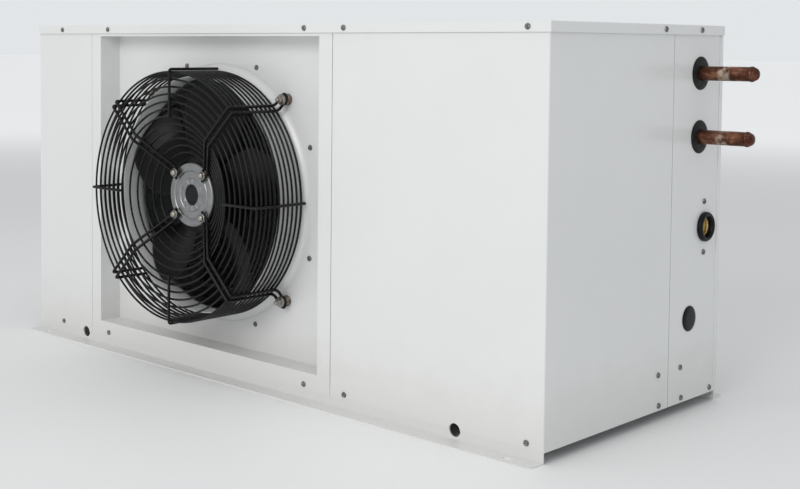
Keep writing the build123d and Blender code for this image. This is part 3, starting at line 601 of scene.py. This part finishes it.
# %% [markdown]
# The nozzle is drawn forward through the recess plate. Its flare is one quarter turn, so a fine
# turned sheet shows the soft highlight that tells it apart from the flat plate.

# %% Nozzle
MOUTH_R, THROAT_R, NOZZLE_T, COLLAR_R = 224.0, 202.0, 1.5, 250.0
back, lip = PLATE + 1.2 + NOZZLE_T, FRONT - 12.0
bend = MOUTH_R - THROAT_R
turns = np.linspace(math.pi / 2, math.pi, 14)
air_side = np.stack([MOUTH_R + bend * np.cos(turns), back - bend + bend * np.sin(turns)], -1)
thin = bend - NOZZLE_T
room_side = np.stack([MOUTH_R + thin * np.cos(turns), back - bend + thin * np.sin(turns)], -1)[::-1]
lip_curve = np.array([(THROAT_R, lip + 0.8), (THROAT_R + 0.2, lip + 0.2), (THROAT_R + 0.75, lip),
                      (THROAT_R + 1.3, lip + 0.2), (THROAT_R + NOZZLE_T, lip + 0.8)])
sheet = np.concatenate([[(COLLAR_R, back)], air_side, lip_curve, room_side,
                        [(COLLAR_R, back - NOZZLE_T), (COLLAR_R, back)]])
nozzle = turned("fan_nozzle_sheet", sheet, [fan_centre], (0, 1, 0), 160)
nozzle.data.materials.append(white_coat)
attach(nozzle, "casing")
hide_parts("fan_nozzle")

# %% [markdown]
# Five blades with a sickle plan. A blade is one closed loop of section points, carried from the hub
# to the tip while chord, pitch and lean change, and wrapped round the axis so the tip stays round.

# %% Fan rotor
ROTOR_FRONT = MOTOR + 11.0
ROTOR_BACK = ROTOR_FRONT + 74.0
BLADES, BLADE_TURN = 5, 12
BLADE_ROOT, BLADE_TIP = 62, 196.5
STATIONS = 60, 105, 152, 198
blade_mid = ROTOR_BACK - 34.0
span = np.linspace(0, 1, 40)
r_blade = BLADE_ROOT + (BLADE_TIP - BLADE_ROOT) * span
tip_round = np.where(span > 0.94, 1 - (span - 0.94) * 1.2, 1)
chord = np.interp(r_blade, STATIONS, [84, 104, 126, 138]) * tip_round
pitch = np.radians(np.interp(r_blade, STATIONS, [34, 30, 26, 23]))
lean = np.radians(np.interp(r_blade, STATIONS, [0, 5, 2, -9]))
u = np.linspace(0, 2 * np.pi, 44, endpoint=False)
along = -np.cos(u)[None] * 0.5 * chord[:, None]
bow = 0.09 * chord[:, None] * (1 - np.cos(u)[None] ** 2)
thick = np.concatenate([np.full(len(span) - 1, 1.3), [0.0]])
skin = bow + thick[:, None] * np.sign(np.sin(u))[None] * np.abs(np.sin(u))[None] ** 0.6
tangential = along * np.cos(pitch)[:, None] - skin * np.sin(pitch)[:, None]
axial = along * np.sin(pitch)[:, None] + skin * np.cos(pitch)[:, None]
angle0 = lean[:, None] + tangential / r_blade[:, None]
blades = []
for k in range(BLADES):
    a = angle0 + math.radians(360 / BLADES * k + BLADE_TURN)
    blades.append(np.stack([FX + r_blade[:, None] * np.cos(a), blade_mid - axial,
                            FZ + r_blade[:, None] * np.sin(a)], -1))
fan_blades = facing_out(new_piece("fan_blades", *many(np.stack(blades), False, True)))
can_profile = soft_profile([(10.2, ROTOR_FRONT), (30, ROTOR_FRONT), (33, ROTOR_FRONT + 1.5),
                            (46, ROTOR_FRONT + 1.5), (48, ROTOR_FRONT), (66, ROTOR_FRONT),
                            (66, ROTOR_BACK), (52, ROTOR_BACK), (50, ROTOR_BACK - 3),
                            (26, ROTOR_BACK - 3), (24, ROTOR_BACK), (0.01, ROTOR_BACK)], 3.0)
rotor_can = turned("rotor_can", can_profile, [fan_centre], (0, 1, 0))
for piece in (fan_blades, rotor_can):
    piece.data.materials.append(paint_black)
    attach(piece, "fan")
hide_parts("fan_rotor")
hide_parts("fan_rotor")
print("blade faces", len(fan_blades.data.polygons))

# %% [markdown]
# The stator flange faces the viewer, so its turned steps, low ribs and screw bosses are raised in
# the grid itself: height depends on the radius and, on the outer band, on the angle.

# %% Stator flange
rad = np.concatenate([[0.01, 8, 17.4, 17.6, 18.4], np.linspace(19, 54, 60), [54.8, 55.0, 55.0]])
ang = np.linspace(0, 2 * np.pi, 192, endpoint=False)
R, A = np.meshgrid(rad, ang, indexing="ij")


def ramp(x, low, high):
    """0 below low, 1 above high, smooth between."""
    k = np.clip((x - low) / (high - low), 0, 1)
    return k * k * (3 - 2 * k)


depth = 4.0 * (1 - ramp(R, 17.4, 18.2)) + 1.4 * ramp(R, 18.0, 19.0)
depth -= 1.3 * (ramp(R, 28, 29.5) - ramp(R, 40, 41.2)) + 1.3 * ramp(R, 43, 44.2)
depth += 2.0 * ramp(R, 54.0, 55.0)
ribs = (np.cos(A * 12) > 0.55) * (ramp(R, 20, 21) - ramp(R, 27, 28))
depth -= 0.9 * ribs
boss_angle = np.mod(A - math.pi / 4, math.pi / 2)
boss_angle = np.minimum(boss_angle, math.pi / 2 - boss_angle)
boss = np.hypot(R * np.cos(boss_angle) - 50.0, R * np.sin(boss_angle))
depth -= 1.4 * (1 - ramp(boss, 6.0, 7.0))
depth[-1] = 9.0
front = np.stack([FX + R * np.cos(A), MOTOR + depth, FZ + R * np.sin(A)], -1)
closing = np.stack([FX + 0.01 * np.cos(ang), np.full(len(ang), MOTOR + 9.0),
                    FZ + 0.01 * np.sin(ang)], -1)[None]
flange = np.concatenate([front, closing])[None]
stator_face = facing_out(new_piece("stator_flange", *many(flange, False, True)))
axle_shape = soft_profile([(0.01, MOTOR + 9), (10, MOTOR + 9), (10, MOTOR + 49), (0.01, MOTOR + 49)], 1.0)
axle = turned("motor_axle", axle_shape, [fan_centre], (0, 1, 0), 48)
plug_shape = soft_profile([(0.01, MOTOR + 4), (17.2, MOTOR + 4), (17.2, MOTOR + 2), (15, MOTOR + 1.6),
                           (13, MOTOR + 3), (0.01, MOTOR + 3.4)], 0.6)
plug = turned("stator_plug", plug_shape, [fan_centre], (0, 1, 0), 64)
stator_face.data.materials.append(cast_aluminium)
axle.data.materials.append(cast_aluminium)
plug.data.materials.append(rubber)
for piece in (stator_face, axle, plug):
    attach(piece, "casing")
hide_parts("fan_stator")
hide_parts("fan_stator")
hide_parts("fan_cap")

# %% [markdown]
# Fasteners repeat, so each kind is one array of copies. A pan head is a height over a disc with a
# cross cut into it; a nut is a ring whose radius follows a hexagon.

# %% Fasteners
def axes_for(direction):
    """Two unit vectors square to a direction."""
    w = np.asarray(direction, float)
    a = np.cross(w, (0, 0, 1.0)) if abs(w[2]) < 0.9 else np.array((1.0, 0, 0))
    a = a / np.linalg.norm(a)
    return a, np.cross(w, a), w


def screw_heads(places, directions, radius=4.5, height=2.5, turn_by=0.4):
    """Points of pan heads: height falls to the rim, and a cross is pressed into the middle."""
    rr = np.concatenate([[0.01], np.linspace(0.4, 0.86, 9), [0.93, 0.97, 1.0, 1.0]]) * radius
    aa = np.linspace(0, 2 * np.pi, 32, endpoint=False)
    Rg, Ag = np.meshgrid(rr, aa, indexing="ij")
    k = Rg / radius
    h = height * (1 - 0.28 * k ** 2) - height * 0.5 * ramp(k, 0.86, 1.0)
    h[-1] = 0.0
    x, y = Rg * np.cos(Ag), Rg * np.sin(Ag)
    cross = np.minimum(np.abs(x), np.abs(y)) + 3.0 * np.maximum(k - 0.52, 0)
    h = h - 1.3 * (1 - ramp(cross, 0.45, 0.85)) * (k < 0.8)
    out = []
    for i, (place, direction) in enumerate(zip(places, directions)):
        a, b, w = axes_for(direction)
        c, s2 = math.cos(turn_by + 1.7 * i), math.sin(turn_by + 1.7 * i)
        a, b = a * c + b * s2, b * c - a * s2
        out.append(np.asarray(place) + x[..., None] * a + y[..., None] * b + h[..., None] * w)
    return np.stack(out)


def screws(name, node, places, directions, **size):
    """One mesh of pan heads standing for a packed group of screws."""
    piece = facing_out(new_piece(name, *many(screw_heads(places, directions, **size), False, True)))
    piece.data.materials.append(screw_zinc)
    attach(piece, "casing")
    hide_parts(node)


X0, X1, Y1 = -597.5, 597.5, 240.0
low_z, lid_z = 24.5, 592.5
front_places = [(X0 + x, FRONT, low_z) for x in (79, 224, 739, 827, 1167)]
screws("panel_screw_heads", "front_screws", front_places, [(0, -1, 0)] * 5)
lid_out = 2.7
lid_row = 80, 225, 737, 822, 1161
lid_places = [(X0 + x, FRONT - lid_out, lid_z) for x in lid_row]
lid_dirs = [(0, -1, 0)] * 5
lid_places += [(X0 + x, Y1 + lid_out, lid_z) for x in lid_row]
lid_dirs += [(0, 1, 0)] * 5
for y in (298, 407):
    lid_places += [(X1 + lid_out, FRONT + y, lid_z), (X0 - lid_out, FRONT + y, lid_z)]
    lid_dirs += [(1, 0, 0), (-1, 0, 0)]
screws("lid_screw_heads", "lid_screws", lid_places, lid_dirs)
end_places = [(302, 24), (369, 24), (459, 24), (299, 71), (365, 72), (430, 324.6), (430, 244.6)]
screws("end_screw_heads", "end_screws", [(X1, FRONT + y, z) for y, z in end_places], [(1, 0, 0)] * 7)
plate_places = [fan_centre + spoke(22.5 + 45 * k)[0] * FIX_R + np.array((0, PLATE, 0)) for k in range(8)]
screws("nozzle_screw_heads", "nozzle_screws", plate_places, [(0, -1, 0)] * 8)

# %% Studs, nuts and stator screws
def hex_ring(across, low, high):
    """Hexagonal nut as radii and heights (rows, angles): radius = across / 2 / cos(angle from the flat)."""
    aa = np.linspace(0, 2 * np.pi, 48, endpoint=False)
    flat = across / 2 / np.cos(np.mod(aa + np.pi / 6, np.pi / 3) - np.pi / 6)
    round_r = across / 2 * 1.02
    chamfer, middle = np.minimum(flat, round_r), np.full(len(aa), 0.01)
    rows_r = np.stack([middle, chamfer, flat, flat, chamfer, middle])
    rows_h = np.array([low, low, low + 0.9, high - 0.9, high, high])[:, None] + 0 * aa[None]
    return rows_r, rows_h, aa


def nuts(name, places, direction, across, low, high):
    """Hexagonal nuts at places, from low to high along direction."""
    r, h, aa = hex_ring(across, low, high)
    a, b, w = axes_for(direction)
    ring = np.cos(aa)[None, :, None] * a + np.sin(aa)[None, :, None] * b
    shape = r[..., None] * ring + h[..., None] * w
    points = np.asarray(places)[:, None, None, :] + shape[None]
    return facing_out(new_piece(name, *many(points, False, True), smooth=False))


stud_places = [fan_centre + spoke(45 + 90 * k)[0] * FIX_R for k in range(4)]
wash = loop_y - ARM_R - GAP
rod = soft_profile([(0.01, wash - 14), (1.6, wash - 14), (3, wash - 12), (3, PLATE), (0.01, PLATE)], 0.5)
washer = soft_profile([(3.05, wash), (9, wash), (9, wash - 1.8), (3.05, wash - 1.8)], 0.4)
cup = soft_profile([(3.05, wash - 1.9), (7.6, wash - 1.9), (7.0, wash - 3.4), (3.05, wash - 3.4)], 0.4)
stud_bits = [turned("stud_rods", rod, stud_places, (0, 1, 0), 24),
             turned("stud_washers", washer, stud_places, (0, 1, 0), 40),
             turned("stud_cups", cup, stud_places, (0, 1, 0), 40),
             nuts("stud_nuts", stud_places, (0, 1, 0), 10.0, wash - 8.6, wash - 3.5)]
for piece in stud_bits:
    piece.data.materials.append(zinc_steel)
    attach(piece, "casing")
    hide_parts("guard_studs")
bush = soft_profile([(3.1, PLATE), (9.5, PLATE), (9.5, PLATE - 4.2), (7.6, PLATE - 5), (9.5, PLATE - 5.8),
                     (9.5, PLATE - BUSH), (3.1, PLATE - BUSH)], 0.8)
bushes = turned("stud_bushes", bush, stud_places, (0, 1, 0), 48)
bushes.data.materials.append(bronze_zinc)
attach(bushes, "casing")
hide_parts("guard_bushes")
seat = MOTOR - 1
top = seat - 2 * ARM_R - 2 * GAP
hub_places = [fan_centre + spoke(45 + 90 * k)[0] * SCREW_R for k in range(4)]
hub_screw = soft_profile([(2.6, seat), (2.6, top), (7.6, top), (7.6, top - 1.2), (6.2, top - 1.3),
                          (6.0, top - 4.0), (3.6, top - 6.6), (0.01, top - 7.2)], 0.9)
hub_screws = turned("stator_screw_heads", hub_screw, hub_places, (0, 1, 0), 40)
hub_screws.data.materials.append(zinc_steel)
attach(hub_screws, "casing")
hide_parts("stator_screws")

# %% [markdown]
# The pipe end: stubs, grommets, sight glass and plug are all turned shapes on the X axis.

# %% Pipe end
STUB_R, BEAD_R = 11.1, 11.9


def at_x(y, z):
    """A point of the pipe end's axis, measured from the casing's front."""
    return np.array((0.0, FRONT + y, z))


SUCTION, LIQUID = at_x(410, 525.7), at_x(410, 427)
GLASS, ENTRY = at_x(432, 284.6), at_x(389, 144.6)


def stub(name, place, out, start):
    """Copper stub: straight tube, a rolled bead and a spun closed end."""
    tip = X1 + out
    corners = [(0.01, start), (STUB_R, start), (STUB_R, tip - 14), (BEAD_R, tip - 12.5), (BEAD_R, tip - 9.5),
               (10.6, tip - 7.5), (8.6, tip - 3), (5.6, tip - 0.8), (0.01, tip)]
    return turned(name, soft_profile(corners, 2.4, 6), [place], (1, 0, 0), 72)


stubs = {"suction_stub": stub("suction_stub_copper", SUCTION, 95, X1 - 70),
         "liquid_stub": stub("liquid_stub_copper", LIQUID, 90, X0 + 1105)}
for node, piece in stubs.items():
    piece.data.materials.append(copper)
    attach(piece, "casing")
    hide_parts(node)
collar = soft_profile([(11.15, X1 - 4.2), (21.9, X1 - 4.2), (21.9, X1 + 0.02), (26, X1 + 0.02),
                       (26, X1 + 1.2), (23, X1 + 2.2), (17.5, X1 + 3.4), (11.15, X1 + 3.4),
                       (11.15, X1 - 4.2)], 0.8)
grommets = turned("pipe_grommets", collar, [SUCTION, LIQUID], (1, 0, 0), 72)
glass_ring = soft_profile([(15.0, X1 + 0.05), (23.5, X1 + 0.05), (23.5, X1 + 5), (21, X1 + 7.9),
                           (17.5, X1 + 7.9), (15.4, X1 + 3), (15.0, X1 + 0.05)], 1.2)
bezel = turned("sight_glass_ring", glass_ring, [GLASS], (1, 0, 0), 72)
cap_shape = soft_profile([(0.01, X1 - 5), (15.9, X1 - 5), (15.9, X1), (20, X1 + 0.05), (20, X1 + 1.2),
                          (17, X1 + 2.6), (12, X1 + 3.3), (0.01, X1 + 3.4)], 0.9)
cap = turned("cable_entry_plug", cap_shape, [ENTRY], (1, 0, 0), 64)
seat_shape = soft_profile([(0.01, X1 - 26), (14.5, X1 - 26), (14.5, X1 + 0.5), (11.5, X1 + 0.5),
                           (10.5, X1 - 1.5), (10.5, X1 - 4), (0.01, X1 - 4)], 0.5)
glass_seat = turned("sight_glass_seat", seat_shape, [GLASS], (1, 0, 0), 64)
disc = soft_profile([(0.01, X1 - 4), (5.5, X1 - 4), (5.5, X1 - 3), (0.01, X1 - 3)], 0.3)
indicator = turned("moisture_indicator", disc, [GLASS], (1, 0, 0), 48)
for piece, node, finish in ((glass_seat, "sight_glass_body", brass),
                            (indicator, "sight_glass_body", indicator_green),
                            (grommets, "grommets", rubber),
                            (bezel, "sight_glass_bezel", paint_black),
                            (cap, "cable_plug", plastic_black)):
    piece.data.materials.append(finish)
    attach(piece, "casing")
    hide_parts(node)

# %% [markdown]
# The rear panel's edge is folded round onto the pipe end; the fold shows as a narrow bright strip.

# %% Rear corner fold
fold_low, fold_high, fold_w, fold_t = 42.5, 584.0, 9.0, 1.2
section = soft_profile([(X1, Y1 - fold_w), (X1 + fold_t, Y1 - fold_w), (X1 + fold_t, Y1), (X1, Y1),
                        (X1, Y1 - fold_w)], 0.6)
heights = np.array([fold_low, fold_low + 0.5, fold_high - 0.5, fold_high])
levels = heights[:, None, None] + np.zeros((4, len(section), 1))
strip = np.concatenate([np.repeat(section[None], 4, 0), levels], -1)
low_end, high_end = [row * 0 + row.mean(1, keepdims=True) for row in (strip[:1], strip[-1:])]
closed = np.concatenate([low_end, strip, high_end])
fold = facing_out(new_piece("rear_corner_fold", *many(closed[None], False, False)))
fold.data.materials.append(white_coat)
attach(fold, "casing")

# %% [markdown]
# The fin pack: several hundred thin plates, each only a box, stand across the tubes.

# %% Coil fins
COIL_LEFT, COIL_RIGHT, FIN_PITCH = X0 + 36, X0 + 776, 2.1
COIL_FRONT, COIL_LOW = 162.8, 43.5
fin_x = np.arange(COIL_LEFT, COIL_RIGHT, FIN_PITCH)
corner = np.array([(0, 0, 0), (1, 0, 0), (1, 1, 0), (0, 1, 0),
                   (0, 0, 1), (1, 0, 1), (1, 1, 1), (0, 1, 1)], float)
size = np.array((0.35, 66.0, 510.0))
origin = np.stack([fin_x, np.full(len(fin_x), COIL_FRONT), np.full(len(fin_x), COIL_LOW)], -1)
fin_points = (origin[:, None] + corner[None] * size).reshape(-1, 3)
box_faces = np.array([(0, 3, 2, 1), (4, 5, 6, 7), (0, 1, 5, 4), (1, 2, 6, 5), (2, 3, 7, 6), (3, 0, 4, 7)])
fin_faces = (box_faces[None] + 8 * np.arange(len(fin_x))[:, None, None]).reshape(-1, 4)
fin_pack = new_piece("coil_fins", fin_points, fin_faces, smooth=False)
fin_pack.data.materials.append(fins)
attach(fin_pack, "casing")
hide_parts("coil_block")
print("fins", len(fin_x))

# %% [markdown]
# A plain pale floor and a large soft sky keep the white casing readable: one broad key from the
# front right, a weak cool fill on the pipe end, and a bright surround for the reflections.

# %% Floor and light
half = 60.0
floor_mesh = bpy.data.meshes.new("floor")
floor_mesh.from_pydata([(-half, -half, 0), (half, -half, 0), (half, half, 0), (-half, half, 0)], [],
                       [(0, 1, 2, 3)])
floor = bpy.data.objects.new("floor", floor_mesh)
bpy.context.scene.collection.objects.link(floor)


def pale_paper(p):
    """Pale paper whose glow rises with distance: smoothstep of x*x + y*y from 3 to 45 square metres."""
    away = (p.axis(0) * p.axis(0) + p.axis(1) * p.axis(1)).step(3.0, 45.0)
    return {"Base_Color": p.noise(0.6, 4.0).mix(colour(0.90, 0.90, 0.90), colour(0.94, 0.94, 0.94)),
            "Roughness": 0.55 + p.noise(3.0) * 0.1, "height": p.noise(200.0) * 0.00002,
            "Emission_Color": away.mix(colour(0.0, 0.0, 0.0), colour(0.97, 0.985, 1.0))}


floor_finish = material("pale_floor", pale_paper, Emission_Strength=0.30)
floor.data.materials.append(floor_finish)


def area_light(name, place, target, size_x, size_y, power, tone=(1, 1, 1)):
    """Rectangular soft light aimed at a point."""
    lamp = bpy.data.lights.new(name, "AREA")
    lamp.shape = "RECTANGLE"
    lamp.size, lamp.size_y = size_x, size_y
    lamp.energy = power
    lamp.color = tone
    holder = bpy.data.objects.new(name, lamp)
    holder.location = place
    holder.rotation_euler = (Vector(target) - Vector(place)).to_track_quat("-Z", "Y").to_euler()
    bpy.context.scene.collection.objects.link(holder)


area_light("key", (0.9, -4.3, 2.4), (0.2, 0, 0.3), 2.6, 1.8, 67, (1.0, 0.985, 0.955))
area_light("right_fill", (4.2, 1.2, 1.8), (0.4, 0, 0.3), 1.6, 2.4, 2, (0.90, 0.95, 1.0))
area_light("top", (0.2, -0.6, 3.4), (0, 0, 0), 2.6, 1.6, 14)
SURROUND, SEEN_MORE = 0.56, 0.24
world = bpy.data.worlds.new("surround")
world.use_nodes = True
world.node_tree.nodes["Background"].inputs["Color"].default_value = (0.955, 0.98, 1.0, 1.0)
# The surround lights the unit; the camera sees it brighter, about as bright as the far floor.
seen_by = world.node_tree.nodes.new("ShaderNodeLightPath")
level = world.node_tree.nodes.new("ShaderNodeMath")
level.operation = "MULTIPLY_ADD"
level.inputs[1].default_value = SEEN_MORE
level.inputs[2].default_value = SURROUND
world.node_tree.links.new(seen_by.outputs["Is Camera Ray"], level.inputs[0])
world.node_tree.links.new(level.outputs[0], world.node_tree.nodes["Background"].inputs["Strength"])
bpy.context.scene.world = world
bpy.context.scene.view_settings.view_transform = "Standard"
